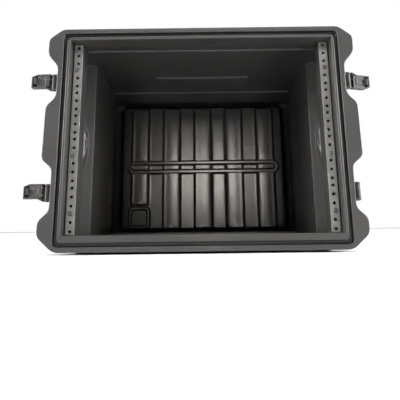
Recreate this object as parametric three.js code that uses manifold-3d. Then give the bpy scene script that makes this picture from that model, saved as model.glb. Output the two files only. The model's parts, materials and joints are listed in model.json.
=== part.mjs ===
// Equipment rack case for 19-inch audio gear: a moulded shell, open at the front, with a latched
// rear lid, two steel rack rails, eight trigger latches, two sprung side handles and four feet.
// Millimetres, +Z up. The front opening faces -Y. The origin lies under the middle of the case,
// on the surface that the feet stand on.
import * as THREE from "three";
import { mergeVertices } from "three/addons/utils/BufferGeometryUtils.js";
import Module from "manifold-3d";

const wasm = await Module();
wasm.setup();

// ---- Driving dimensions ----

const RACK_UNIT = 44.45; // one rack unit, from the 19-inch rack standard
const RACK_UNITS = 8;
const HOLE_STEPS = [6.35, 22.225, 38.1]; // hole heights within one rack unit
const HOLE_SPACING = 465.1; // across, between the two columns of rail holes
const CLEAR_WIDTH = 449; // clear opening between the rails

const RACK_Z = 210; // height of the rack opening's centre
const FRONT = -235; // front face of the rim
const RAIL_FRONT = -215; // front face of the rack rails
const REAR = 180; // rear face of the shell
const LID_REAR = 235; // outermost face of the rear lid

const RIM_TOP = RACK_Z + 201;
const RIM_BOTTOM = RACK_Z - 206;
const LOBE_X = 283; // half width over the side bumpers
const NOTCH_X = 264; // half width in the latch notches of the rim
const WALL_X = 257; // half width of the plain outer wall
const RIB_X = 268; // half width over the long side ribs
const SHELL_TOP = RACK_Z + 195;
const SHELL_BOTTOM = RACK_Z - 196;
const RIM_DEPTH = 30;
const BUMPER_DEPTH = 78;

const MOUTH_X = 243; // half width of the opening in the rim
const MOUTH_TOP = RACK_Z + 179;
const MOUTH_BOTTOM = RACK_Z - 178;
const BAY_X = 250; // half width of the space behind the rim
const BAY_TOP = RACK_Z + 187;
const BAY_BOTTOM = RACK_Z - 186;
const CEILING_Y = -164; // the ceiling steps down here, to CEILING_TOP
const CEILING_TOP = RACK_Z + 183.5;
const NARROW_Y = -96; // the side walls stand closer together from here to LIP_Y
const NARROW_X = 228;
const LIP_Y = 90; // the bay is lower and wide again behind this, under the rear rim
const GROOVE_X = 255; // outer half width of the sealing groove
const GROOVE_WIDTH = 7;
const GROOVE_DEPTH = 8;
const GAP = 0.3; // clearance between pieces that touch

const LATCH_HEIGHTS = { upper: RACK_Z + 96, lower: RACK_Z - 106 };
const LATCH_X = 270.5; // hinge axis of a latch, from the middle of the case
const LATCH_INSET = 7; // hinge axis of a latch, behind the rim face
const LEVER_LENGTH = 41;

const HANDLE_Y = (FRONT + REAR) / 2;
const HANDLE_Z = RACK_Z + 3;
const HANDLE_X = 260; // hinge axis of a handle
const HANDLE_DROP = 58; // from the hinge axis to the middle of the grip

const FOOT_X = 212;
const FOOT_FRONT = -182;
const FOOT_REAR = 128;
const FOOT_RADIUS = 18;

// ---- Materials ----

const material = (color, roughness, metalness = 0) =>
  new THREE.MeshStandardMaterial({ color, roughness, metalness });

const SHELL = material(0x3d3c3b, 0.6);
const SEAL = material(0x1c1c1d, 0.8);
const RAIL = material(0xb9b9b4, 0.45, 0.6);
const STEEL = material(0x9a9a9a, 0.35, 0.9);
const LATCH = material(0x4a4a48, 0.5);
const TRIGGER = material(0x33363c, 0.45);
const DARK_STEEL = material(0x2b2b2c, 0.45, 0.7);
const RUBBER = material(0x19191a, 0.85);

// ---- Solids ----

function solid(geometry) {
  geometry.deleteAttribute("normal");
  geometry.deleteAttribute("uv");
  const merged = mergeVertices(geometry, 1e-4);
  return new wasm.Manifold(
    new wasm.Mesh({
      numProp: 3,
      vertProperties: merged.attributes.position.array,
      triVerts: new Uint32Array(merged.index.array),
    }),
  );
}

function mesh(name, body, look) {
  const data = body.getMesh();
  const geometry = new THREE.BufferGeometry();
  geometry.setAttribute("position", new THREE.BufferAttribute(data.vertProperties, 3));
  geometry.setIndex(new THREE.BufferAttribute(data.triVerts, 1));
  geometry.computeVertexNormals();
  const made = new THREE.Mesh(geometry, look);
  made.name = name;
  return made;
}

const join = (bodies) => bodies.reduce((sum, body) => sum.add(body));

function box(x0, x1, y0, y1, z0, z1) {
  const geometry = new THREE.BoxGeometry(x1 - x0, y1 - y0, z1 - z0);
  return solid(geometry.translate((x0 + x1) / 2, (y0 + y1) / 2, (z0 + z1) / 2));
}

// A closed outline through [a, b, radius] corners, each rounded by its radius.
function outline(corners) {
  const shape = new THREE.Shape();
  corners.forEach(([a, b, radius = 0], i) => {
    const here = new THREE.Vector2(a, b);
    const ends = [-1, 1].map((step) => {
      const [na, nb] = corners[(i + step + corners.length) % corners.length];
      const towards = new THREE.Vector2(na, nb).sub(here).normalize();
      return here.clone().addScaledVector(towards, radius);
    });
    if (i === 0) shape.moveTo(ends[0].x, ends[0].y);
    else shape.lineTo(ends[0].x, ends[0].y);
    if (radius > 0) shape.quadraticCurveTo(a, b, ends[1].x, ends[1].y);
  });
  shape.closePath();
  return shape;
}

function extrude(shape, depth, curveSegments = 3) {
  return new THREE.ExtrudeGeometry(shape, { depth, curveSegments, bevelEnabled: false });
}

const prismZ = (shape, z0, z1, curve) => solid(extrude(shape, z1 - z0, curve).translate(0, 0, z0));

// The outline's axes are X and Z.
const prismY = (shape, y0, y1, curve) =>
  solid(extrude(shape, y1 - y0, curve).rotateX(Math.PI / 2).translate(0, y1, 0));

// The outline's axes are Y and Z.
function prismX(shape, x0, x1, curve) {
  const geometry = extrude(shape, x1 - x0, curve).rotateX(Math.PI / 2).rotateZ(Math.PI / 2);
  return solid(geometry.translate(x0, 0, 0));
}

const roundedBox = (half, bottom, top, radius) =>
  outline([
    [-half, bottom, radius],
    [half, bottom, radius],
    [half, top, radius],
    [-half, top, radius],
  ]);

function rodZ(radius, z0, z1, x = 0, y = 0, sides = 12) {
  const geometry = new THREE.CylinderGeometry(radius, radius, z1 - z0, sides);
  return solid(geometry.rotateX(Math.PI / 2).translate(x, y, (z0 + z1) / 2));
}

function rodY(radius, y0, y1, x, z, sides = 12) {
  const geometry = new THREE.CylinderGeometry(radius, radius, y1 - y0, sides);
  return solid(geometry.translate(x, (y0 + y1) / 2, z));
}

const mirrorX = (body) => body.mirror([1, 0, 0]);

// ---- Outlines of the shell ----

// Right half of the bumper outline, from top to bottom, for one pair of lobe and notch widths.
function bumperOutline(lobe, notch, top, bottom) {
  const right = [
    [lobe - 26, top, 7],
    [lobe, top - 20, 7],
    [lobe, RACK_Z + 150, 8],
    [notch, RACK_Z + 128, 8],
    [notch, RACK_Z + 68, 10],
    [lobe - 1, RACK_Z + 51, 8],
    [lobe, RACK_Z - 46, 7],
    [notch, RACK_Z - 62, 7],
    [notch, RACK_Z - 136, 8],
    [lobe, RACK_Z - 153, 8],
    [lobe, bottom + 26, 8],
    [lobe - 29, bottom, 10],
  ];
  const left = right.map(([x, z, radius]) => [-x, z, radius]).reverse();
  return outline([...left, ...right].reverse());
}

// A bumper block between a rim face and the plain wall: full width at the rim, sloping away.
function bumperBlock(rim, towards) {
  const back = rim + towards * BUMPER_DEPTH;
  const step = rim + towards * RIM_DEPTH;
  const slope = back - towards * 24;
  const [y0, y1] = [Math.min(rim, back), Math.max(rim, back)];
  const profile = outline([
    [-LOBE_X - 2, rim],
    [LOBE_X + 2, rim],
    [LOBE_X + 2, slope],
    [WALL_X, back],
    [-WALL_X, back],
    [-LOBE_X - 2, slope],
  ]);
  const rimFrame = prismY(
    bumperOutline(LOBE_X, NOTCH_X, RIM_TOP, RIM_BOTTOM),
    Math.min(rim, step),
    Math.max(rim, step),
  );
  const lobes = prismY(bumperOutline(LOBE_X - 2, WALL_X, SHELL_TOP, SHELL_BOTTOM), y0, y1);
  return rimFrame.add(lobes.intersect(prismZ(profile, RIM_BOTTOM - 2, RIM_TOP + 2)));
}

// A ring along the sealing groove, held back from the groove's sides by the inset.
function grooveRing(y0, y1, inset = 0) {
  const ring = (half) =>
    roundedBox(half, RIM_BOTTOM + (NOTCH_X - half), RIM_TOP - (NOTCH_X - half), 8);
  return prismY(ring(GROOVE_X - inset), y0, y1).subtract(
    prismY(ring(GROOVE_X - GROOVE_WIDTH + inset), y0 - 1, y1 + 1),
  );
}

// ---- Shell ----

// Moulded shoulder that carries a rail, on the +X side.
function railShoulder() {
  const section = outline([
    [226, RAIL_FRONT + 2 + GAP],
    [238, RAIL_FRONT + 2 + GAP],
    [238, RAIL_FRONT + 22 + 2 * GAP],
    [BAY_X + 1, RAIL_FRONT + 22 + 2 * GAP],
    [BAY_X + 1, RAIL_FRONT + 60],
    [235, RAIL_FRONT + 50],
    [228, RAIL_FRONT + 44],
  ]);
  return prismZ(section, BAY_BOTTOM - 1, BAY_TOP + 1);
}

// The thicker part of the side wall on the +X side, with its sloping front end.
function thickWall() {
  const section = outline([
    [NARROW_X, NARROW_Y],
    [BAY_X + 1, NARROW_Y - 12],
    [BAY_X + 1, LIP_Y],
    [NARROW_X, LIP_Y],
  ]);
  return prismZ(section, BAY_BOTTOM - 1, BAY_TOP + 1);
}

// Handle housing on the +X side: a raised surround, the pocket, and the bulge behind it.
const POCKET = { y: 84, bottom: HANDLE_Z - 43, top: HANDLE_Z + 43, floor: 246 };
const BULGE_X = 238; // the bulge's highest point inside the bay
const BULGE_HALF = 58;

function pocketBulge() {
  const rise = BAY_X - BULGE_X;
  const radius = (BULGE_HALF ** 2 + rise ** 2) / (2 * rise);
  const front = HANDLE_Y - POCKET.y - 6;
  return rodY(radius, front, NARROW_Y, BULGE_X + radius, HANDLE_Z, 96).intersect(
    box(BULGE_X - 1, BAY_X + 1, front - 1, NARROW_Y + 1, HANDLE_Z - 70, HANDLE_Z + 70),
  );
}

function handlePocket(x0, x1, grow) {
  const { y, bottom, top } = POCKET;
  return prismX(
    outline([
      [HANDLE_Y - y - grow, bottom - grow, 12],
      [HANDLE_Y + y + grow, bottom - grow, 12],
      [HANDLE_Y + y + grow, top + grow, 12],
      [HANDLE_Y - y - grow, top + grow, 12],
    ]),
    x0,
    x1,
  );
}

function caseBody() {
  const walls = prismY(bumperOutline(RIB_X, WALL_X, SHELL_TOP, SHELL_BOTTOM), FRONT + 10, REAR - 10);
  const outside = join([walls, bumperBlock(FRONT, 1), bumperBlock(REAR, -1)]);
  const surround = handlePocket(BAY_X + 1, 274, 12);
  const mouth = prismY(roundedBox(MOUTH_X, MOUTH_BOTTOM, MOUTH_TOP, 2), FRONT - 1, FRONT + 36);
  const frontBay = prismY(roundedBox(BAY_X, BAY_BOTTOM, BAY_TOP, 6), FRONT + 35, CEILING_Y);
  const bay = prismY(roundedBox(BAY_X, BAY_BOTTOM, CEILING_TOP, 6), CEILING_Y - 1, LIP_Y);
  const rearMouth = prismY(roundedBox(BAY_X, MOUTH_BOTTOM, MOUTH_TOP, 10), LIP_Y - 1, REAR + 1);
  const ceilingBoss = box(-109, 109, -20, LIP_Y - 25, BAY_TOP - 8.5, BAY_TOP + 1);
  const topRecess = box(-101, 101, -12, LIP_Y - 33, BAY_TOP - 2, RIM_TOP);
  const inside = join([railShoulder(), thickWall(), pocketBulge()]);
  const pocket = handlePocket(POCKET.floor, 300, 0);

  return outside
    .add(surround.add(mirrorX(surround)))
    .subtract(join([mouth, frontBay, bay, rearMouth]))
    .add(join([ceilingBoss, inside, mirrorX(inside)]))
    .subtract(join([pocket, mirrorX(pocket), topRecess]))
    .subtract(grooveRing(FRONT - 1, FRONT + GROOVE_DEPTH))
    .subtract(grooveRing(REAR - GROOVE_DEPTH, REAR + 1));
}

// ---- Rear lid ----

const LID_FRONT = REAR + GAP;
const PANEL_Y = 205; // inner face of the lid's raised panel
const PANEL_X = 233;
const BAND_Y = 197; // inner face of the raised bands
const BAND_PITCH = 88;
const BAND_HALF = 24.5;

// A ring with round ends, standing on the panel.
function oblongRing() {
  const slot = (halfLength, halfHeight) =>
    outline([
      [-halfLength, -halfHeight, halfHeight],
      [halfLength, -halfHeight, halfHeight],
      [halfLength, halfHeight, halfHeight],
      [-halfLength, halfHeight, halfHeight],
    ]);
  const ring = prismY(slot(211, 17.5), BAND_Y - 2, PANEL_Y + 1).subtract(
    prismY(slot(200, 7), BAND_Y - 3, PANEL_Y),
  );
  return ring.translate([0, 0, RACK_Z - 0.5]);
}

// Square frame for a name card, standing on the panel.
function cardFrame() {
  const square = (half, radius) =>
    outline([
      [-half, -half, radius],
      [half, -half, radius],
      [half, half, radius],
      [-half, half, radius],
    ]);
  const frame = prismY(square(29, 12), BAND_Y, PANEL_Y + 1).subtract(
    prismY(square(21, 8), BAND_Y - 1, PANEL_Y),
  );
  return frame.translate([-175.5, 0, RACK_Z - 138]);
}

function rearLid() {
  const skirt = prismY(
    bumperOutline(LOBE_X, NOTCH_X, RIM_TOP, RIM_BOTTOM),
    LID_FRONT,
    LID_FRONT + 28,
  );
  const crown = prismY(
    bumperOutline(LOBE_X - 8, NOTCH_X - 5, RIM_TOP - 6, RIM_BOTTOM + 6),
    LID_FRONT + 28,
    LID_REAR,
  );
  const trough = prismY(roundedBox(BAY_X, BAY_BOTTOM, BAY_TOP, 12), LID_FRONT - 1, 227);
  const panel = prismY(roundedBox(PANEL_X, RACK_Z - 177, RACK_Z + 182, 14), PANEL_Y, 230);
  const recess = prismY(roundedBox(PANEL_X - 8, RACK_Z - 169, RACK_Z + 174, 12), 211, 240);

  const bands = [];
  const bandRecesses = [];
  for (let i = -2; i <= 2; i++) {
    const x = i * BAND_PITCH;
    const [z0, z1] = [RACK_Z - (i === -2 ? 104 : 170), RACK_Z + 168];
    bands.push(box(x - BAND_HALF, x + BAND_HALF, BAND_Y, PANEL_Y + 1, z0, z1));
    bandRecesses.push(
      box(x - BAND_HALF + 5, x + BAND_HALF - 5, BAND_Y + 6, 212, z0 + 6, z1 - 6),
    );
  }

  const tongue = grooveRing(REAR - 2.6, LID_FRONT + 1, 2 * GAP);

  // Keeper recesses for the hooks of the four rear latches.
  const keepers = [-1, 1].flatMap((side) =>
    Object.values(LATCH_HEIGHTS).map((z) => {
      const middle = z + side * 4;
      const [x0, x1] = side < 0 ? [-LOBE_X, -NOTCH_X + 4] : [NOTCH_X - 4, LOBE_X];
      return box(x0, x1, LID_FRONT - 1, LID_FRONT + 31, middle - 8.5, middle + 8.5);
    }),
  );

  return join([skirt, crown])
    .subtract(trough)
    .add(panel)
    .add(tongue)
    .subtract(recess)
    .add(join([...bands, oblongRing(), cardFrame()]))
    .subtract(join([...bandRecesses, ...keepers]));
}

// Rubber seal at the bottom of the rear groove.
const lidSeal = () => grooveRing(REAR - GROOVE_DEPTH + GAP, REAR - 2.6 - GAP, GAP);

// ---- Rack rails and their screws ----

const RAIL_INNER = CLEAR_WIDTH / 2;
const RAIL_OUTER = RAIL_INNER + 16;
const RAIL_HALF_LENGTH = (RACK_UNITS * RACK_UNIT) / 2 - 0.3;
const HOLE_X = HOLE_SPACING / 2;
const HOLE_RADIUS = 3.1;
const SCREWED_HOLES = [3, 14, 21]; // counted from the top, starting at 0

function holeHeights() {
  const heights = [];
  for (let unit = 0; unit < RACK_UNITS; unit++) {
    const top = RACK_Z + (RACK_UNITS / 2 - unit) * RACK_UNIT;
    HOLE_STEPS.forEach((step) => heights.push(top - step));
  }
  return heights;
}

// Right-hand rail: an L section with one column of holes in its face.
function rackRail() {
  const section = outline([
    [RAIL_INNER, RAIL_FRONT],
    [RAIL_OUTER, RAIL_FRONT],
    [RAIL_OUTER, RAIL_FRONT + 22],
    [RAIL_OUTER - 2, RAIL_FRONT + 22],
    [RAIL_OUTER - 2, RAIL_FRONT + 2],
    [RAIL_INNER, RAIL_FRONT + 2],
  ]);
  const bar = prismZ(section, RACK_Z - RAIL_HALF_LENGTH, RACK_Z + RAIL_HALF_LENGTH);
  const holes = holeHeights().map((z) =>
    rodY(HOLE_RADIUS, RAIL_FRONT - 1, RAIL_FRONT + 3, HOLE_X, z, 10),
  );
  return bar.subtract(join(holes));
}

// Pan-head screw through a rail hole, standing on the rail's face.
function railScrew(z) {
  const head = new THREE.LatheGeometry(
    [
      [0, 0],
      [4.6, 0],
      [4.6, 0.8],
      [3.4, 1.8],
      [0, 2.2],
    ].map(([r, h]) => new THREE.Vector2(r, h)),
    12,
  );
  const turned = solid(head.rotateX(Math.PI).translate(HOLE_X, RAIL_FRONT - GAP, z));
  const shank = rodY(2.6, RAIL_FRONT - 0.5, RAIL_FRONT + 2.1, HOLE_X, z, 8);
  return turned.add(shank);
}

// ---- Latches ----
// A latch is drawn closed, around its hinge axis: X runs along the lever, Y points away from the
// case and Z runs along the hinge pin. The lever swings open about +Z.

const PIN_RADIUS = 2;
const BARREL_RADIUS = 4.4;
const EAR_RADIUS = 4.8;
const EARS = [
  [-16.5, -13],
  [10.5, 14],
];
const BETWEEN_EARS = [EARS[0][1] + GAP, EARS[1][0] - GAP];
const LEVER_IN = -5.5; // the lever's open inner side
const LEVER_OUT = 4.2; // the lever's outer face
const LEVER_START = 5.4; // the lever's edge beside the hinge
const LEVER_LOW = -17;
const LEVER_HIGH = 9;
const SKIN = 2.5;
const TRIGGER_PIVOT = 20; // along the lever
const TRIGGER_MID = -4; // along the pin

function latchBase() {
  const plate = box(-16, 4, -6.2, -4.7, EARS[0][0], EARS[1][1]);
  const ears = EARS.map(([z0, z1]) =>
    rodZ(EAR_RADIUS, z0, z1).add(box(-EAR_RADIUS, 4, -6.2, 0, z0, z1)),
  );
  return join([plate, ...ears]).subtract(rodZ(PIN_RADIUS + GAP, -20, 20));
}

const latchPin = () => rodZ(PIN_RADIUS, EARS[0][0] - 0.6, EARS[1][1] + 0.6, 0, 0, 10);

function latchLever() {
  const face = (inset) =>
    outline([
      [LEVER_START - inset, LEVER_LOW + inset],
      [LEVER_LENGTH - 11, LEVER_LOW + inset],
      [LEVER_LENGTH - inset, LEVER_LOW + 4 + inset / 2],
      [LEVER_LENGTH - inset, LEVER_HIGH - inset],
      [16, LEVER_HIGH - inset],
      [LEVER_START - inset, 14 - inset],
    ]);
  const shell = prismY(face(0), LEVER_IN, LEVER_OUT).subtract(
    prismY(face(SKIN), LEVER_IN - 1, LEVER_OUT - SKIN),
  );
  const neck = box(0, 9, LEVER_OUT - 3, LEVER_OUT, ...BETWEEN_EARS);
  const barrel = rodZ(BARREL_RADIUS, ...BETWEEN_EARS);
  const window = box(9, 18, 0, 6, TRIGGER_MID - 7, TRIGGER_MID + 7);
  return join([shell, neck, barrel]).subtract(
    join([
      window,
      rodZ(PIN_RADIUS + GAP, -20, 20),
      rodZ(2, LEVER_LOW - 1, LEVER_HIGH + 1, TRIGGER_PIVOT, 0, 8),
    ]),
  );
}

// Rocker inside the lever, drawn around its own pivot: a press pad, two stub axles and the hook.
function latchTrigger() {
  const [low, high] = [TRIGGER_MID - 6.2, TRIGGER_MID + 6.2];
  const profile = outline([
    [-10, -0.5],
    [-3, -3.6],
    [10.5, -4.6],
    [11.5, -9.3],
    [14.5, -9.3],
    [16, -7],
    [16, -1.8],
    [2.4, -1.4],
    [-3, 1.4],
    [-3, 4.4],
    [-10, 4.4],
  ]);
  return join([
    prismZ(profile, low, high),
    rodZ(1.6, LEVER_LOW + 0.5, LEVER_HIGH - 0.5, 0, 0, 8),
  ]);
}

// end is -1 at the front rim and 1 at the rear rim; side is -1 on the left and 1 on the right.
function addLatch(parent, name, end, side, height, opening) {
  const place = new THREE.Group();
  const rim = end < 0 ? FRONT : REAR;
  const along = new THREE.Vector3(0, end, 0);
  const outward = new THREE.Vector3(side, 0, 0);
  const pin = along.clone().cross(outward);
  place.quaternion.setFromRotationMatrix(new THREE.Matrix4().makeBasis(along, outward, pin));
  place.position.set(side * LATCH_X, rim - end * LATCH_INSET, height);

  const swinging = new THREE.Group();
  swinging.rotation.z = THREE.MathUtils.degToRad(opening);
  const trigger = mesh(name + "_trigger", latchTrigger(), TRIGGER);
  trigger.position.x = TRIGGER_PIVOT;
  swinging.add(mesh(name + "_lever", latchLever(), LATCH), trigger);

  place.add(mesh(name + "_base", latchBase(), LATCH), mesh(name + "_pin", latchPin(), STEEL));
  place.add(swinging);
  parent.add(place);
}

// How far each lever stands open, in degrees from closed.
const OPENINGS = {
  front_left_upper: 94,
  front_left_lower: 94,
  front_right_upper: 104,
  front_right_lower: 168,
  rear_left_upper: 0,
  rear_left_lower: 0,
  rear_right_upper: 0,
  rear_right_lower: 0,
};

function addLatches(parent) {
  for (const [end, endName] of [[-1, "front"], [1, "rear"]]) {
    for (const [side, sideName] of [[-1, "left"], [1, "right"]]) {
      for (const [level, height] of Object.entries(LATCH_HEIGHTS)) {
        const place = [endName, sideName, level].join("_");
        addLatch(parent, "latch_" + place, end, side, height, OPENINGS[place]);
      }
    }
  }
}

// ---- Side handles ----
// A handle is drawn on the +X side. Its axis runs along Y through HANDLE_X and HANDLE_TOP.

const HANDLE_TOP = HANDLE_Z + 30;
const EAR_Y = [65, 69]; // inner and outer face of a handle ear, from the handle's middle
const LEG_Y = [57.5, 62];
const PLATE_X = POCKET.floor + GAP;

function handlePlate() {
  const plate = prismX(
    outline([
      [HANDLE_Y - 80, HANDLE_Z - 39, 10],
      [HANDLE_Y + 80, HANDLE_Z - 39, 10],
      [HANDLE_Y + 80, HANDLE_Z + 39, 10],
      [HANDLE_Y - 80, HANDLE_Z + 39, 10],
    ]),
    PLATE_X,
    PLATE_X + 2,
  );
  const ears = [-1, 1].map((end) => {
    const ys = EAR_Y.map((y) => HANDLE_Y + end * y).sort((a, b) => a - b);
    return rodY(7, ...ys, HANDLE_X, HANDLE_TOP).add(
      box(PLATE_X, HANDLE_X, ...ys, HANDLE_TOP - 7, HANDLE_TOP + 7),
    );
  });
  const holes = rodY(4.4, HANDLE_Y - 75, HANDLE_Y + 75, HANDLE_X, HANDLE_TOP);
  return join([plate, ...ears]).subtract(holes);
}

function handleBail() {
  const gripZ = HANDLE_TOP - HANDLE_DROP;
  const legs = [-1, 1].map((end) => {
    const [y0, y1] = LEG_Y.map((y) => HANDLE_Y + end * y).sort((a, b) => a - b);
    const stub = [HANDLE_Y + end * (LEG_Y[0] + 1), HANDLE_Y + end * 71].sort((a, b) => a - b);
    return join([
      box(HANDLE_X - 5.5, HANDLE_X + 5.5, y0, y1, gripZ, HANDLE_TOP),
      rodY(5.5, y0, y1, HANDLE_X, HANDLE_TOP),
      rodY(5.5, y0, y1, HANDLE_X, gripZ),
      rodY(3.9, ...stub, HANDLE_X, HANDLE_TOP),
    ]);
  });
  const bar = rodY(4, HANDLE_Y - LEG_Y[0] - 1, HANDLE_Y + LEG_Y[0] + 1, HANDLE_X, gripZ);
  return join([bar, ...legs]);
}

function handleGrip() {
  const gripZ = HANDLE_TOP - HANDLE_DROP;
  const half = LEG_Y[0] - 0.5;
  return rodY(9.5, HANDLE_Y - half, HANDLE_Y + half, HANDLE_X, gripZ, 20).subtract(
    rodY(4.4, HANDLE_Y - half - 1, HANDLE_Y + half + 1, HANDLE_X, gripZ),
  );
}

// ---- Feet ----

function foot(x, y) {
  const profile = [
    [5, 0],
    [FOOT_RADIUS - 2, 0],
    [FOOT_RADIUS, 2],
    [FOOT_RADIUS - 2, SHELL_BOTTOM - GAP],
    [0, SHELL_BOTTOM - GAP],
    [0, 6],
    [5, 6],
  ].map(([r, z]) => new THREE.Vector2(r, z));
  const body = solid(new THREE.LatheGeometry([...profile, profile[0].clone()], 20).rotateX(Math.PI / 2));
  return body.translate([x, y, 0]);
}

// ---- Assembly ----

const group = new THREE.Group();
group.add(mesh("case_body", caseBody(), SHELL));
group.add(mesh("rear_lid", rearLid(), SHELL));
group.add(mesh("lid_seal", lidSeal(), SEAL));

for (const [side, name] of [[-1, "left"], [1, "right"]]) {
  const sided = (body) => (side < 0 ? mirrorX(body) : body);
  group.add(mesh("rack_rail_" + name, sided(rackRail()), RAIL));
  SCREWED_HOLES.forEach((hole, i) => {
    const screw = sided(railScrew(holeHeights()[hole]));
    group.add(mesh(`rail_screw_${name}_${i + 1}`, screw, STEEL));
  });
  group.add(mesh(`handle_${name}_plate`, sided(handlePlate()), DARK_STEEL));
  group.add(mesh(`handle_${name}_bail`, sided(handleBail()), DARK_STEEL));
  group.add(mesh(`handle_${name}_grip`, sided(handleGrip()), RUBBER));
  for (const [y, end] of [[FOOT_FRONT, "front"], [FOOT_REAR, "rear"]]) {
    group.add(mesh(`foot_${end}_${name}`, foot(side * FOOT_X, y), RUBBER));
  }
}
addLatches(group);

export default group;
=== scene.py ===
import json
import math

import bmesh
import bpy
from mathutils import Matrix, Vector
from mathutils.kdtree import KDTree


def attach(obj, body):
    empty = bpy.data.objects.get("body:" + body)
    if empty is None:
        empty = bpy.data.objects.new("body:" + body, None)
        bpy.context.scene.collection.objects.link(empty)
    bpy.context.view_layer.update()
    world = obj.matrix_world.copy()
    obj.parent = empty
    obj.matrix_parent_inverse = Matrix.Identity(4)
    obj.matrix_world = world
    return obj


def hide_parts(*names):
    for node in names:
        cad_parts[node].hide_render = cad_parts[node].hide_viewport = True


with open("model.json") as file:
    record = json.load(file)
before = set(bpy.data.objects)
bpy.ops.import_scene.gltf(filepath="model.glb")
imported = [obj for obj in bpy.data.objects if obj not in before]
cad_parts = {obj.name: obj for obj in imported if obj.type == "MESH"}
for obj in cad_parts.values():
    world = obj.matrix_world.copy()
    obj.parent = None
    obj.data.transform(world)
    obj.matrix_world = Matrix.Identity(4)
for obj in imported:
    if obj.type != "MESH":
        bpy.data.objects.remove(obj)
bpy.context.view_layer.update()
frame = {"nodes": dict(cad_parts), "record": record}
NODES = frame["nodes"]

# ---- Shared sizes, in metres, as in the part ----

RACK_Z = 0.210
FRONT = -0.235
REAR = 0.180
RAIL_FRONT = -0.215
HOLE_X = 0.23255
RACK_UNIT = 0.04445
HOLE_STEPS = (0.00635, 0.022225, 0.0381)
SCREWED_HOLES = (3, 14, 21)
LATCH_X = 0.2705
LATCH_INSET = 0.007
LATCH_Z = {"upper": RACK_Z + 0.096, "lower": RACK_Z - 0.106}
OPEN_ANGLES = {
    "front_left_upper": 94,
    "front_left_lower": 94,
    "front_right_upper": 104,
    "front_right_lower": 168,
}
HANDLE_Y = (FRONT + REAR) / 2
HANDLE_X = 0.260
HANDLE_TOP = RACK_Z + 0.033
FOOT_X = 0.212
FOOT_Y = {"front": -0.182, "rear": 0.128}
FLOOR_Z = 0.0
GROOVE_X = 0.255
GROOVE_Z, GROOVE_HALF_Z = 0.2075, 0.1945

# ---- Materials ----


class Nodes:
    """A small helper around one material's node tree."""

    def __init__(self, name):
        self.mat = bpy.data.materials.new(name)
        self.mat.use_nodes = True
        self.tree = self.mat.node_tree
        self.shader = self.tree.nodes["Principled BSDF"]
        self.coords = self.tree.nodes.new("ShaderNodeTexCoord").outputs["Object"]

    def link(self, source, target):
        self.tree.links.new(source, target)

    def new(self, kind, **settings):
        node = self.tree.nodes.new("ShaderNode" + kind)
        for key, value in settings.items():
            setattr(node, key, value)
        return node

    def noise(self, scale, detail=3.0, rough=0.55, stretch=(1, 1, 1)):
        mapping = self.new("Mapping")
        mapping.inputs["Scale"].default_value = stretch
        self.link(self.coords, mapping.inputs["Vector"])
        tex = self.new("TexNoise")
        tex.inputs["Scale"].default_value = scale
        tex.inputs["Detail"].default_value = detail
        tex.inputs["Roughness"].default_value = rough
        self.link(mapping.outputs[0], tex.inputs["Vector"])
        return tex.outputs["Fac"]

    def span(self, value, low, high, to_low=0.0, to_high=1.0):
        node = self.new("MapRange")
        for i, number in enumerate((low, high, to_low, to_high)):
            node.inputs[i + 1].default_value = number
        self.link(value, node.inputs[0])
        return node.outputs[0]

    def math(self, operation, a, b):
        node = self.new("Math", operation=operation)
        for i, value in enumerate((a, b)):
            if isinstance(value, (int, float)):
                node.inputs[i].default_value = value
            else:
                self.link(value, node.inputs[i])
        return node.outputs[0]

    def mix(self, factor, a, b):
        node = self.new("Mix", data_type="RGBA")
        self.link(factor, node.inputs[0])
        for slot, value in ((6, a), (7, b)):
            if isinstance(value, tuple):
                node.inputs[slot].default_value = (*value, 1)
            else:
                self.link(value, node.inputs[slot])
        return node.outputs[2]

    def edges(self, radius):
        """1 along convex and concave edges, 0 on flat ground."""
        soft = self.new("Bevel", samples=4)
        soft.inputs["Radius"].default_value = radius
        geometry = self.new("NewGeometry")
        dot = self.new("VectorMath", operation="DOT_PRODUCT")
        self.link(soft.outputs[0], dot.inputs[0])
        self.link(geometry.outputs["Normal"], dot.inputs[1])
        return self.span(dot.outputs["Value"], 0.995, 0.86)


def groove_shade_mask(n):
    """A mask for painted shade: 1 low in the sealing groove of the front rim, and 0 elsewhere."""
    axes = n.new("SeparateXYZ")
    n.link(n.coords, axes.inputs[0])
    x, y, z = axes.outputs
    beside = n.math("SUBTRACT", n.math("ABSOLUTE", x, 0), GROOVE_X)
    above = n.math("SUBTRACT", n.math("ABSOLUTE", n.math("SUBTRACT", z, GROOVE_Z), 0), GROOVE_HALF_Z)
    out = n.math("MAXIMUM", beside, above)
    across = n.math("MULTIPLY", n.span(out, -0.0082, -0.0072), n.span(out, 0.001, 0.0))
    below_rim = n.span(y, FRONT + 0.0004, FRONT + 0.003)
    above_bottom = n.span(y, FRONT + 0.0095, FRONT + 0.009)
    return n.math("MULTIPLY", across, n.math("MULTIPLY", below_rim, above_bottom))


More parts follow.
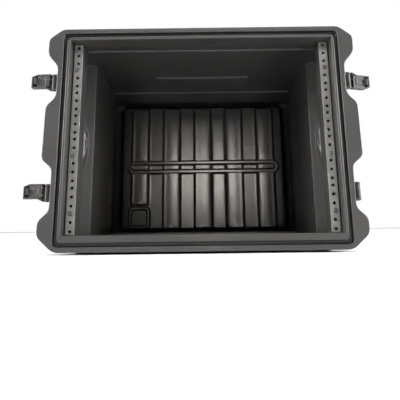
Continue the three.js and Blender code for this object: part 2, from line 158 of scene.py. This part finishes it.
def moulded(name, dark, light, rough, grain, relief, worn_and_highlight, radius, specular=0.5, stretch=(1, 1, 1),
            metallic=0.0, blotch=7.0, wave=0.0006, scuffs=0.28, paint_groove_shade=False):
    """Grained ground in two tones, fine speckle, scuffs and paler rubbed edges, as wide as the radius. The
    paler edges are wear, and where their colour is bright, as on the panel, also a painted highlight; an
    option paints near-black shade into the front rim's sealing groove.
    """
    n = Nodes(name)
    patches = n.span(n.noise(blotch, 5.0, 0.6), 0.36, 0.66)
    fine = n.span(n.noise(grain, 2.0, 0.6, stretch), 0.32, 0.68)
    tone = n.mix(patches, dark, light)
    speck = n.mix(n.math("MULTIPLY", fine, 0.35), tone, light)
    scuff = n.span(n.noise(34.0, 6.0, 0.72, (1.0, 0.35, 2.2)), 0.60, 0.74)
    scuffed = n.mix(n.math("MULTIPLY", scuff, scuffs), speck, worn_and_highlight)
    # Edge mask for the paler colour: rubbed wear, and on the panel also a painted highlight.
    rubbed_and_highlight = n.math("MULTIPLY", n.edges(radius), n.span(n.noise(90.0, 4.0, 0.65), 0.34, 0.62))
    colour = n.mix(n.math("MULTIPLY", rubbed_and_highlight, 0.75), scuffed, worn_and_highlight)
    # Painted shade: near-black colour laid into the rim's sealing groove, where little light reaches.
    if paint_groove_shade:
        colour = n.mix(n.math("MULTIPLY", groove_shade_mask(n), 0.85), colour, (0.006, 0.006, 0.006))
    n.link(colour, n.shader.inputs["Base Color"])

    ground = n.span(n.noise(blotch * 2.6, 4.0, 0.6), 0.3, 0.7, rough[0], rough[1])
    n.link(n.math("SUBTRACT", ground, n.math("MULTIPLY", rubbed_and_highlight, 0.1)), n.shader.inputs["Roughness"])

    low = n.new("Bump")
    low.inputs["Strength"].default_value = 1.0
    low.inputs["Distance"].default_value = wave
    n.link(n.noise(16.0, 2.0, 0.5), low.inputs["Height"])
    high = n.new("Bump")
    high.inputs["Strength"].default_value = 0.8
    high.inputs["Distance"].default_value = relief
    n.link(fine, high.inputs["Height"])
    n.link(low.outputs[0], high.inputs["Normal"])
    n.link(high.outputs[0], n.shader.inputs["Normal"])
    n.shader.inputs["Metallic"].default_value = metallic
    n.shader.inputs["Specular IOR Level"].default_value = specular
    return n.mat


LOOKS = {
    # The shell's colour paints shade into the front rim's sealing groove.
    "shell": moulded(
        "shell", (0.036, 0.035, 0.034), (0.049, 0.048, 0.046), (0.29, 0.36), 620.0, 0.00009,
        (0.13, 0.127, 0.12), 0.0016, wave=0.0003, paint_groove_shade=True),
    # The panel's pale edge colour is partly wear and partly a painted highlight along its band ridges.
    "panel": moulded(
        "panel", (0.026, 0.025, 0.024), (0.030, 0.029, 0.027), (0.195, 0.21), 620.0, 0.00005,
        (0.24, 0.225, 0.205), 0.0024, specular=0.7, wave=0.0003, scuffs=0.06),
    "seal": moulded(
        "seal", (0.010, 0.010, 0.010), (0.022, 0.022, 0.023), (0.75, 0.95), 1500.0, 0.0003,
        (0.04, 0.04, 0.04), 0.0006),
    "rail": moulded(
        "rail", (0.20, 0.197, 0.187), (0.32, 0.315, 0.298), (0.36, 0.52), 900.0, 0.00005,
        (0.62, 0.61, 0.58), 0.0005, metallic=0.75, stretch=(1, 1, 0.06), blotch=24.0, wave=0.0002),
    "steel": moulded(
        "steel", (0.10, 0.10, 0.098), (0.17, 0.168, 0.16), (0.40, 0.52), 1400.0, 0.00004,
        (0.65, 0.64, 0.62), 0.0004, metallic=0.9, stretch=(1, 1, 0.12), blotch=60.0, wave=0.0001),
    "latch": moulded(
        "latch", (0.020, 0.0195, 0.018), (0.033, 0.032, 0.030), (0.44, 0.58), 1100.0, 0.00008,
        (0.09, 0.09, 0.085), 0.0007, blotch=30.0, wave=0.0002),
    "trigger": moulded(
        "trigger", (0.014, 0.015, 0.018), (0.024, 0.026, 0.031), (0.55, 0.68), 1100.0, 0.00008,
        (0.05, 0.054, 0.062), 0.0006, specular=0.35, blotch=36.0, wave=0.0002),
    "dark_steel": moulded(
        "dark_steel", (0.016, 0.016, 0.016), (0.030, 0.030, 0.031), (0.40, 0.58), 1300.0, 0.0001,
        (0.16, 0.155, 0.15), 0.0007, blotch=20.0, wave=0.0002),
    "rubber": moulded(
        "rubber", (0.013, 0.013, 0.013), (0.026, 0.026, 0.026), (0.66, 0.86), 900.0, 0.00014,
        (0.06, 0.06, 0.058), 0.0009, blotch=26.0, wave=0.0003),
}
SLOTS = {part["node"]: part["material_slot"] for part in frame["record"]["subparts"]}

# ---- Mesh helpers ----


def rounded(bm, width, segments, angle):
    """The same mesh with its sharp edges rounded, except where they lie too close together for that.

    Each round bevels a copy, notes where it folded over, and leaves the edges there sharp in the next one.
    """
    limit, fold = math.radians(angle), math.radians(110)
    bmesh.ops.triangulate(bm, faces=bm.faces, quad_method="BEAUTY", ngon_method="BEAUTY")
    crowded = []
    while True:
        tree = KDTree(max(len(crowded), 1))
        for i, point in enumerate(crowded):
            tree.insert(point, i)
        tree.balance()
        made = bm.copy()
        sharp = []
        for edge in made.edges:
            if not edge.is_manifold or edge.calc_face_angle() < limit:
                continue
            a, b = (v.co for v in edge.verts)
            if not crowded or min(tree.find(a.lerp(b, t / 4))[2] for t in range(5)) > 2 * width:
                sharp.append(edge)
        bmesh.ops.bevel(made, geom=sharp, offset=width, offset_type="OFFSET", segments=segments,
                        profile=0.5, affect="EDGES", clamp_overlap=False, miter_outer="ARC")
        wide = [face for face in made.faces if len(face.verts) > 4]
        bmesh.ops.triangulate(made, faces=wide, quad_method="BEAUTY", ngon_method="BEAUTY")
        made.normal_update()
        folds = [
            (edge.verts[0].co + edge.verts[1].co) / 2
            for edge in made.edges
            if not edge.is_manifold
            or (min(f.calc_area() for f in edge.link_faces) > 1e-9 and edge.calc_face_angle() > fold)
        ]
        known = len(crowded)
        crowded += [p.copy() for p in folds if not known or tree.find(p)[2] > 1e-5]
        if len(crowded) == known:
            bm.free()
            return made
        made.free()


def even_shading(obj):
    """Flat faces stay evenly lit up to the rounded edges beside them."""
    flat = obj.modifiers.new("even shading", "WEIGHTED_NORMAL")
    flat.keep_sharp = True
    flat.weight = 80


def piece(name, bm, body, slot, crease=34, bevel=None, segments=2, look=None):
    """A finished piece of the object from a bmesh; edges past the crease angle are rounded or stay sharp."""
    if bevel:
        bm = rounded(bm, bevel, segments, crease)
    mesh = bpy.data.meshes.new(name)
    bm.normal_update()
    bm.to_mesh(mesh)
    bm.free()
    obj = bpy.data.objects.new(name, mesh)
    bpy.context.scene.collection.objects.link(obj)
    mesh.materials.append(LOOKS[look or slot])
    mesh.polygons.foreach_set("use_smooth", [True] * len(mesh.polygons))
    mesh.set_sharp_from_angle(angle=math.radians(crease))
    if bevel:
        even_shading(obj)
    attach(obj, body)
    return obj


BODY_OF = {node: name for name, body in frame["record"]["behaviour"]["bodies"].items() for node in body}


def from_node(name):
    """The CAD node's mesh in place, with its flat triangles merged into whole faces."""
    source = NODES[name]
    bm = bmesh.new()
    bm.from_mesh(source.data)
    bm.transform(source.matrix_world)
    bmesh.ops.remove_doubles(bm, verts=bm.verts, dist=2e-6)
    bmesh.ops.dissolve_limit(bm, angle_limit=math.radians(0.6), verts=bm.verts, edges=bm.edges)
    return bm


BEVELS = {
    "lid_seal": 0.0004,
    "rack_rail": 0.0004,
    "latch": 0.0005,
    "handle_left_bail": 0.0006,
    "handle_right_bail": 0.0006,
    "handle_left_plate": 0.0006,
    "handle_right_plate": 0.0006,
}


def refine_all():
    """The nodes that keep their shape, with rounded edges."""
    for node in NODES:
        for prefix, bevel in BEVELS.items():
            if node.startswith(prefix):
                obj = piece(node + "_fine", from_node(node), BODY_OF[node], SLOTS[node], bevel=bevel)
                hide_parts(node)


def steps(low, high, count):
    return [low + (high - low) * i / count for i in range(count + 1)]


def slab(bm, us, vs, front, back):
    """A closed plate between the sheets front(u, v) and back(u, v); the front faces along u x v."""
    a, b = ([[bm.verts.new(point(u, v)) for u in us] for v in vs] for point in (front, back))
    columns, rows = len(us), len(vs)
    for j in range(rows - 1):
        for i in range(columns - 1):
            bm.faces.new((a[j][i], a[j][i + 1], a[j + 1][i + 1], a[j + 1][i]))
            bm.faces.new((b[j][i], b[j + 1][i], b[j + 1][i + 1], b[j][i + 1]))
    rim = [(0, i) for i in range(columns)] + [(j, columns - 1) for j in range(1, rows)]
    rim += [(rows - 1, i) for i in range(columns - 2, -1, -1)] + [(j, 0) for j in range(rows - 2, 0, -1)]
    for (j0, i0), (j1, i1) in zip(rim, rim[1:] + rim[:1]):
        bm.faces.new((a[j1][i1], a[j0][i0], b[j0][i0], b[j1][i1]))


def join_rings(bm, low, high):
    """Faces between two rings of as many vertices."""
    for k in range(len(low)):
        n = (k + 1) % len(low)
        bm.faces.new((low[k], low[n], high[n], high[k]))


def turned(bm, profile, place, count=40):
    """A closed body of revolution around Z through (radius, height) pairs, put in place."""
    rings = []
    for radius, height in profile:
        angles = [2 * math.pi * k / count for k in range(count)]
        points = [Vector((radius * math.cos(a), radius * math.sin(a), height)) for a in angles]
        rings.append([bm.verts.new(place @ point) for point in points])
    for low, high in zip(rings, rings[1:]):
        join_rings(bm, low, high)
    if profile[0] != profile[-1]:
        bm.faces.new(rings[0][::-1])
        bm.faces.new(rings[-1])
    else:
        for first, last in zip(rings[0], rings[-1]):
            bmesh.ops.pointmerge(bm, verts=[first, last], merge_co=first.co)


def pointing(place, direction):
    """A matrix that puts local Z along the direction, at the place."""
    turn = Vector(direction).to_track_quat("Z", "Y").to_matrix().to_4x4()
    return Matrix.Translation(place) @ turn


# ---- Rear lid: its frame from the part, and a soft moulded panel inside it ----

PANEL_Y = 0.205
PANEL_HALF = 0.233
PANEL_LOW, PANEL_HIGH = RACK_Z - 0.177, RACK_Z + 0.182
PANEL_MIDDLE, PANEL_HALF_HEIGHT = (PANEL_LOW + PANEL_HIGH) / 2, (PANEL_HIGH - PANEL_LOW) / 2
BAND_HALF = 0.0245
BAND_PITCH = 0.088
BANDS = range(-2, 3)
BAND_LOW, BAND_HIGH = RACK_Z - 0.170, RACK_Z + 0.168
SHORT_BAND_LOW = RACK_Z - 0.104
BAND_HEIGHT, BAND_CROWN = 0.0068, 0.0011
CHAMFER, CHAMFER_SLOPE = 0.0062, 0.12
OBLONG_Z = RACK_Z - 0.0005
OBLONG_LENGTH, OBLONG_HALF = 0.211, 0.0175
CHANNEL_LENGTH, CHANNEL_HALF = 0.200, 0.007
CARD_X, CARD_Z = -0.1755, RACK_Z - 0.138
CARD_OUTER, CARD_INNER = 0.029, 0.021
WALL = 0.004
ROOM_WIDTH = 0.465
ROOM_Y, ROOM_DEPTH = 0.21325, 0.0545


def smooth(t):
    """A soft step from 0 to 1 as t goes from 0 to 1."""
    t = min(1.0, max(0.0, t))
    return t * t * (3 - 2 * t)


def outside(x, z, cx, cz, hx, hz, radius):
    """Distance outside a rounded rectangle, negative inside it."""
    dx, dz = abs(x - cx) - hx + radius, abs(z - cz) - hz + radius
    return math.hypot(max(dx, 0.0), max(dz, 0.0)) + min(max(dx, dz), 0.0) - radius


def bead(distance, middle, half):
    """A round ridge of height 1 at the middle."""
    return math.exp(-(((distance - middle) / half) ** 2))


def to_band(x, z, i):
    """Distance outside raised band number i, negative on it."""
    low = SHORT_BAND_LOW if i == -2 else BAND_LOW
    return outside(x, z, i * BAND_PITCH, (low + BAND_HIGH) / 2, BAND_HALF, (BAND_HIGH - low) / 2, 0.007)


def relief(x, z):
    """How far the panel stands towards the opening at this point, from its ground."""
    height = 0.0
    for i in BANDS:
        d = to_band(x, z, i)
        across = (x - i * BAND_PITCH) / BAND_HALF
        on_band = smooth(0.5 - d / 0.0042)
        band = (BAND_HEIGHT + BAND_CROWN * (1 - across * across)) * on_band
        chamfered = across > 0 if i < 1 else across < 0
        if chamfered:
            band -= CHAMFER_SLOPE * on_band * max(d + CHAMFER, 0.0)
            band += CHAMFER_SLOPE * (1 - on_band) * max(CHAMFER - d, 0.0)
        else:
            band += 0.0006 * bead(d, -0.0052, 0.0034) - 0.0016 * bead(d, 0.0042, 0.0026)
        height = band if abs(band) > abs(height) else height
    oblong = outside(x, z, 0, OBLONG_Z, OBLONG_LENGTH, OBLONG_HALF, OBLONG_HALF)
    channel = outside(x, z, 0, OBLONG_Z, CHANNEL_LENGTH, CHANNEL_HALF, CHANNEL_HALF)
    standing = 0.0098 * smooth(0.5 - oblong / WALL) * smooth(0.5 + channel / WALL)
    height = max(height * (1 - 0.35 * smooth(0.5 - channel / WALL)), standing)
    outer = outside(x, z, CARD_X, CARD_Z, CARD_OUTER, CARD_OUTER, 0.012)
    inner = outside(x, z, CARD_X, CARD_Z, CARD_INNER, CARD_INNER, 0.008)
    height = max(height, 0.0078 * smooth(0.5 - outer / WALL) * smooth(0.5 + inner / WALL))
    edge = outside(x, z, 0, PANEL_MIDDLE, PANEL_HALF, PANEL_HALF_HEIGHT, 0.014)
    return height - 0.023 * smooth((edge + 0.011) / 0.011)


def cuts(low, high, step, edges):
    """Grid lines at an even step, closer together around the given edges."""
    count = round((high - low) / step)
    lines = {round(low + (high - low) * i / count, 6) for i in range(count + 1)}
    for edge in edges:
        for k in range(-5, 6):
            lines.add(round(edge + k * 0.0011, 6))
    lines = sorted(v for v in lines if low <= v <= high)
    kept = lines[:1]
    for value in lines[1:]:
        if value - kept[-1] > 0.0007:
            kept.append(value)
    kept[-1] = high
    return kept


def around(middle, *halves):
    """The places at each half width to both sides of the middle."""
    return [middle + side * half for half in halves for side in (-1, 1)]


def panel_back(x, z):
    """The panel's back: flat, hollow behind the bands, and set into the frame at its edge."""
    d = outside(x, z, 0, PANEL_MIDDLE, 0.225, 0.1715, 0.012)
    hollow = 0.0068 * smooth(0.5 - (min(to_band(x, z, i) for i in BANDS) + 0.005) / WALL)
    return max(0.2105 + 0.019 * smooth(d / WALL + 0.5) - hollow, PANEL_Y - relief(x, z) + 0.001)


def lid_panel():
    edges_x = [x for i in BANDS for x in around(i * BAND_PITCH, BAND_HALF)]
    edges_x += around(CARD_X, CARD_OUTER, CARD_INNER)
    edges_z = [BAND_LOW, BAND_HIGH, SHORT_BAND_LOW]
    edges_z += around(OBLONG_Z, OBLONG_HALF, CHANNEL_HALF) + around(CARD_Z, CARD_OUTER, CARD_INNER)
    bm = bmesh.new()
    slab(bm, cuts(-PANEL_HALF, PANEL_HALF, 0.0035, edges_x), cuts(PANEL_LOW, PANEL_HIGH, 0.0035, edges_z),
         lambda x, z: (x, PANEL_Y - relief(x, z), z),
         lambda x, z: (x, panel_back(x, z), z))
    piece("rear_lid_panel", bm, "rear_lid", "shell", look="panel", crease=60)


def cut_away(bm, cutter_bm):
    """bm without what lies in the cutter, as a closed mesh."""
    solids = []
    for name, source in (("part", bm), ("cutter", cutter_bm)):
        mesh = bpy.data.meshes.new(name)
        source.to_mesh(mesh)
        source.free()
        obj = bpy.data.objects.new(name, mesh)
        bpy.context.scene.collection.objects.link(obj)
        solids.append(obj)
    part, cutter = solids
    cut = part.modifiers.new("cut", "BOOLEAN")
    cut.operation = "DIFFERENCE"
    cut.solver = "EXACT"
    cut.object = cutter
    result = bmesh.new()
    result.from_object(part, bpy.context.evaluated_depsgraph_get())
    for obj in solids:
        mesh = obj.data
        bpy.data.objects.remove(obj)
        bpy.data.meshes.remove(mesh)
    return result


def rear_lid():
    """The lid's frame, with the room for the panel cut out of it, and the panel."""
    room = bmesh.new()
    bmesh.ops.create_cube(room, size=1)
    height = PANEL_HIGH - PANEL_LOW - 0.001
    middle = Vector((0, ROOM_Y, PANEL_MIDDLE))
    room.transform(Matrix.LocRotScale(middle, None, Vector((ROOM_WIDTH, ROOM_DEPTH, height))))
    shell = cut_away(from_node("rear_lid"), room)
    bmesh.ops.dissolve_limit(shell, angle_limit=math.radians(0.6), verts=shell.verts, edges=shell.edges)
    surround = piece("rear_lid_frame", shell, "rear_lid", "shell", bevel=0.0016, segments=3)
    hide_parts("rear_lid")
    lid_panel()


# ---- Small hardware ----


def cross_recess(u, v, radius):
    """1 in the cross of a screw head with this radius, 0 outside it."""
    width, reach = radius * 0.13, radius * 0.58
    arms = [
        smooth((width - abs(a)) / (radius * 0.1) + 0.5) * smooth((reach - abs(b)) / (radius * 0.14) + 0.5)
        for a, b in ((u, v), (v, u))
    ]
    return max(arms)


def screw_head(bm, place, radius, height, cross=True):
    """A domed head standing up from Z = 0, with a cross recess or as a plain rivet."""
    circles, count = 12, 40
    angles = [2 * math.pi * k / count for k in range(count)]
    rings = []
    for j in range(circles + 1):
        r = radius * j / circles
        ring = []
        for angle in angles if j else angles[:1]:
            u, v = r * math.cos(angle), r * math.sin(angle)
            z = height * (1 - (r / radius) ** 2.6) ** 0.5
            if cross:
                z -= height * 0.6 * cross_recess(u, v, radius)
            ring.append(bm.verts.new(place @ Vector((u, v, z))))
        rings.append(ring)
    foot = [Vector((radius * math.cos(a), radius * math.sin(a), -height * 0.4)) for a in angles]
    rings.append([bm.verts.new(place @ point) for point in foot])
    top = rings[0][0]
    for k in range(count):
        bm.faces.new((top, rings[1][k], rings[1][(k + 1) % count]))
    for inner, outer in zip(rings[1:], rings[2:]):
        for k in range(count):
            n = (k + 1) % count
            bm.faces.new((inner[k], outer[k], outer[n], inner[n]))
    bm.faces.new(rings[-1][::-1])


def hole_heights():
    """The heights of a rail's holes, from the top down."""
    return [RACK_Z + (4 - unit) * RACK_UNIT - step for unit in range(8) for step in HOLE_STEPS]


def case_body():
    """The shell with rounded edges, and the blind holes behind the rails' holes."""
    drills = bmesh.new()
    for side in (-1, 1):
        for z in hole_heights():
            place = pointing((side * HOLE_X, RAIL_FRONT + 0.0015, z), (0, 1, 0))
            turned(drills, [(0.0028, 0), (0.0028, 0.013), (0.001, 0.0145)], place, 16)
    bmesh.ops.recalc_face_normals(drills, faces=drills.faces)
    shell = cut_away(rounded(from_node("case_body"), 0.0014, 3, 34), drills)
    made = piece("case_shell", shell, "case", "shell")
    even_shading(made)
    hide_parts("case_body")


def rail_screws():
    for side, name in ((-1, "left"), (1, "right")):
        for i, hole in enumerate(SCREWED_HOLES):
            bm = bmesh.new()
            place = pointing((side * HOLE_X, RAIL_FRONT - 0.0003, hole_heights()[hole]), (0, -1, 0))
            turn = Matrix.Rotation(0.4 + 1.1 * i + side, 4, "Z")
            screw_head(bm, place @ turn, 0.0046, 0.0022)
            turned(bm, [(0.0026, -0.0024), (0.0026, 0.0012)], place, 20)
            head = piece(f"rail_screw_{name}_{i + 1}_head", bm, "case", "steel", crease=50)
            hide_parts(f"rail_screw_{name}_{i + 1}")


def foot_profile():
    """Half the section of a foot: a round tread, three grooves in the side, and a well for the screw."""
    profile = [(0.005, 0.0), (0.0152, 0.0), (0.0164, 0.0005), (0.0175, 0.0013), (0.018, 0.0024)]
    for k in range(3):
        middle = 0.0052 + k * 0.0044
        wall = 0.0179 - 0.0004 * k
        bottom = wall - 0.0009
        profile += [(wall, middle - 0.0011), (bottom, middle - 0.0004)]
        profile += [(bottom, middle + 0.0004), (wall, middle + 0.0011)]
    profile += [(0.0164, 0.0196), (0.016, 0.0212), (0.0150, 0.0216), (0.003, 0.0216), (0.003, 0.0062)]
    return profile + [(0.005, 0.006), (0.005, 0.0)]


def feet():
    for side, name in ((-1, "left"), (1, "right")):
        for end, y in FOOT_Y.items():
            bm = bmesh.new()
            turned(bm, foot_profile(), Matrix.Translation((side * FOOT_X, y, 0)), 56)
            made = piece(f"foot_{end}_{name}_ribbed", bm, "case", "rubber", crease=40)
            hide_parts(f"foot_{end}_{name}")
            bm = bmesh.new()
            screw_head(bm, pointing((side * FOOT_X, y, 0.0062), (0, 0, -1)), 0.0042, 0.002)
            piece(f"foot_{end}_{name}_screw", bm, "case", "steel", crease=50)


# ---- Latches ----

MARK_Z = -4  # millimetres, as in latch_faces

def latch_frame(end, side, height, opening):
    """A latch's own axes, turned open: X along the lever, Y away from the case, Z along the pin."""
    along, outward = Vector((0, end, 0)), Vector((side, 0, 0))
    axes = Matrix((along, outward, along.cross(outward))).transposed().to_4x4()
    rim = FRONT if end < 0 else REAR
    place = Matrix.Translation((side * LATCH_X, rim - end * LATCH_INSET, height))
    return place @ axes @ Matrix.Rotation(math.radians(opening), 4, "Z")


def ribs(x, z, middles, half):
    """Grip ribs across the lever, of height 1."""
    return sum(bead(x, middle, half) for middle in middles) * (abs(z - MARK_Z) < 9)


def inner_face(x, z):
    """Height of the cover inside the lever: a ring mark, grip ribs and a slot, in millimetres."""
    r = math.hypot(x - 20.5, z - MARK_Z)
    height = 0.55 * bead(r, 6.0, 0.75) + 0.4 * smooth((3.0 - r) / 0.6 + 0.5)
    height += 0.5 * ribs(x, z, (12.6, 14.2, 28.4), 0.42)
    in_slot = smooth((0.8 - abs(x - 11.0)) / 0.4 + 0.5) * smooth((6.5 - abs(z - MARK_Z)) / 0.5 + 0.5)
    return height - 0.6 * in_slot


def outer_face(x, z):
    """Height of the mark outside the lever: a ring and grip ribs, in millimetres."""
    r = math.hypot(x - 27.5, z - MARK_Z)
    return 0.6 * bead(r, 5.2, 0.7) + 0.55 * ribs(x, z, (35.4, 37.0, 38.6), 0.5)


def latch_plate(name, swing, xs, zs, front, back):
    """A plate on the lever, from its face's and its back's distance in millimetres."""
    bm = bmesh.new()
    slab(bm, xs, zs,
         lambda x, z: swing @ (Vector((x, front(x, z), z)) / 1000),
         lambda x, z: swing @ (Vector((x, back, z)) / 1000))
    piece(name, bm, name.rpartition("_")[0] + "_lever", "latch", crease=50)


def latch_faces():
    for end, end_name in ((-1, "front"), (1, "rear")):
        for side, side_name in ((-1, "left"), (1, "right")):
            for level, height in LATCH_Z.items():
                key = f"{end_name}_{side_name}_{level}"
                name = "latch_" + key
                swing = latch_frame(end, side, height, OPEN_ANGLES.get(key, 0))
                latch_plate(name + "_cover", swing, steps(7.6, 30.0, 58), steps(-14.8, 6.8, 54),
                            lambda x, z: -5.05 - inner_face(x, z), -4.75)
                latch_plate(name + "_mark", swing, steps(39.9, 20.2, 52), steps(-13.0, 6.4, 48),
                            lambda x, z: 4.22 + outer_face(x, z), 3.9)
                bm = bmesh.new()
                closed = latch_frame(end, side, height, 0)
                for z in (-9.5, 7):
                    place = closed @ (Vector((-11, -4.7, z)) / 1000)
                    screw_head(bm, pointing(place, (side, 0, 0)), 0.0029, 0.0013, cross=False)
                piece(name + "_rivets", bm, "case", "steel", crease=50)


# ---- Side handles ----


GRIP_DROP = 0.058
GRIP_HALF = 0.057
RIBBED = 0.0952
SPRING_TURNS, SPRING_STEPS = 2.6, 26
SPRING_RADIUS, WIRE_RADIUS, WIRE_SIDES = 0.0056, 0.00042, 8


def grip_profile():
    """Half the section of a handle grip: two collars, and ribs with a slight waist between them."""
    collar = [(0.0044, -GRIP_HALF), (0.0078, -GRIP_HALF), (0.0090, -GRIP_HALF + 0.0012)]
    collar += [(0.0095, -GRIP_HALF + 0.004), (0.0095, -GRIP_HALF + 0.0075), (0.0088, -GRIP_HALF + 0.0085)]
    profile = list(collar)
    for k in range(41):
        y = -RIBBED / 2 + RIBBED * k / 40
        waist = 0.00036 * math.cos(4 * math.pi * y / RIBBED)
        profile.append((0.0081 + waist if k % 2 else 0.0088 + waist, y))
    return profile + [(r, -y) for r, y in reversed(collar)] + collar[:1]


def handle_spring(bm, side, end):
    """The coil spring around the hinge at one end of the handle."""
    hinge = Vector((side * HANDLE_X, HANDLE_Y, HANDLE_TOP))
    sections = []
    for k in range(int(SPRING_TURNS * SPRING_STEPS) + 1):
        angle = 2 * math.pi * k / SPRING_STEPS
        out = Vector((math.cos(angle), 0, math.sin(angle)))
        along = Vector((0, end * (0.0626 + 0.0018 * k / (SPRING_TURNS * SPRING_STEPS)), 0))
        centre = hinge + along + out * SPRING_RADIUS
        turns = [2 * math.pi * j / WIRE_SIDES for j in range(WIRE_SIDES)]
        wire = [out * math.cos(a) + Vector((0, math.sin(a), 0)) for a in turns]
        sections.append([bm.verts.new(centre + direction * WIRE_RADIUS) for direction in wire])
    for low, high in zip(sections, sections[1:]):
        join_rings(bm, low, high)
    bm.faces.new(sections[0][::-1])
    bm.faces.new(sections[-1])
    bmesh.ops.recalc_face_normals(bm, faces=bm.faces)


def handles():
    for side, name in ((-1, "left"), (1, "right")):
        body = "handle_" + name
        bm = bmesh.new()
        place = pointing((side * HANDLE_X, HANDLE_Y, HANDLE_TOP - GRIP_DROP), (0, 1, 0))
        turned(bm, grip_profile(), place, 48)
        made = piece(body + "_grip_ribbed", bm, body, "rubber", crease=60)
        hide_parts(body + "_grip")

        bm = bmesh.new()
        for y in (-0.073, 0.073):
            for z in (-0.031, 0.031):
                at = (side * 0.2483, HANDLE_Y + y, RACK_Z + 0.003 + z)
                screw_head(bm, pointing(at, (side, 0, 0)), 0.0042, 0.0019, cross=False)
        piece(body + "_rivets", bm, "case", "dark_steel", crease=50)

        for end, end_name in ((-1, "front"), (1, "rear")):
            bm = bmesh.new()
            handle_spring(bm, side, end)
            piece(f"{body}_spring_{end_name}", bm, body, "steel", crease=60)


# ---- Stage, light and camera ----


def floor():
    bm = bmesh.new()
    bmesh.ops.create_grid(bm, x_segments=8, y_segments=8, size=9)
    bm.transform(Matrix.Translation((0, 0, FLOOR_Z)))
    mesh = bpy.data.meshes.new("floor")
    bm.to_mesh(mesh)
    bm.free()
    n = Nodes("floor_paper")
    tone = n.mix(n.span(n.noise(3.0), 0.3, 0.7), (0.72, 0.72, 0.72), (0.76, 0.76, 0.76))
    n.link(tone, n.shader.inputs["Base Color"])
    n.shader.inputs["Roughness"].default_value = 0.9
    mesh.materials.append(n.mat)
    obj = bpy.data.objects.new("floor", mesh)
    bpy.context.scene.collection.objects.link(obj)


def area_light(name, place, target, size, power, colour=(1, 1, 1), spread=180):
    """A rectangular lamp, in watts, that points at its target."""
    data = bpy.data.lights.new(name, "AREA")
    data.shape = "RECTANGLE"
    data.size, data.size_y = size
    data.energy = power
    data.color = colour
    data.spread = math.radians(spread)
    lamp = bpy.data.objects.new(name, data)
    lamp.location = place
    aim = Vector(target) - Vector(place)
    lamp.rotation_euler = aim.to_track_quat("-Z", "Y").to_euler()
    bpy.context.scene.collection.objects.link(lamp)


def lights():
    """A white studio around, dimmer as light than as seen, and six soft area lights."""
    world = bpy.data.worlds.new("studio")
    bpy.context.scene.world = world
    world.use_nodes = True
    tree = world.node_tree
    background = tree.nodes["Background"]
    background.inputs["Color"].default_value = (1, 1, 1, 1)
    rays = tree.nodes.new("ShaderNodeLightPath")
    level = tree.nodes.new("ShaderNodeMapRange")
    level.inputs["To Min"].default_value = 0.12
    level.inputs["To Max"].default_value = 1.0
    tree.links.new(rays.outputs["Is Camera Ray"], level.inputs["Value"])
    tree.links.new(level.outputs["Result"], background.inputs["Strength"])
    warm = (1.0, 0.94, 0.85)
    area_light("key", (0.06, -2.5, 0.5), (0.015, 0.2, 0.17), (0.42, 0.36), 0.055, warm, spread=10)
    area_light("front_top", (0.0, -2.0, 2.15), (0.0, FRONT, 0.36), (1.8, 0.6), 34)
    area_light("side_left", (-2.2, -0.76, 0.8), (0.1, FRONT, 0.22), (0.9, 0.9), 87)
    area_light("side_right", (2.2, -0.76, 0.8), (-0.1, FRONT, 0.22), (0.9, 0.9), 100)
    area_light("top", (0.0, 0.9, 2.6), (0.0, 0.9, 0.0), (3.0, 3.0), 64)
    area_light("back", (0.0, 4.8, 4.5), (0.0, 4.8, 0.0), (6.0, 6.0), 520)
    bpy.context.scene.view_settings.view_transform = "Standard"


def camera():
    data = bpy.data.cameras.new("camera")
    data.lens = 37.62
    data.shift_x = -0.0075
    data.shift_y = -0.15
    cam = bpy.data.objects.new("camera", data)
    cam.location = (0.0036, -0.9593, 0.0423)
    cam.rotation_euler = tuple(math.radians(a) for a in (101.904, 0.666, 0.255))
    bpy.context.scene.collection.objects.link(cam)
    bpy.context.scene.camera = cam


refine_all()
case_body()
rear_lid()
rail_screws()
feet()
latch_faces()
handles()
floor()
lights()
camera()
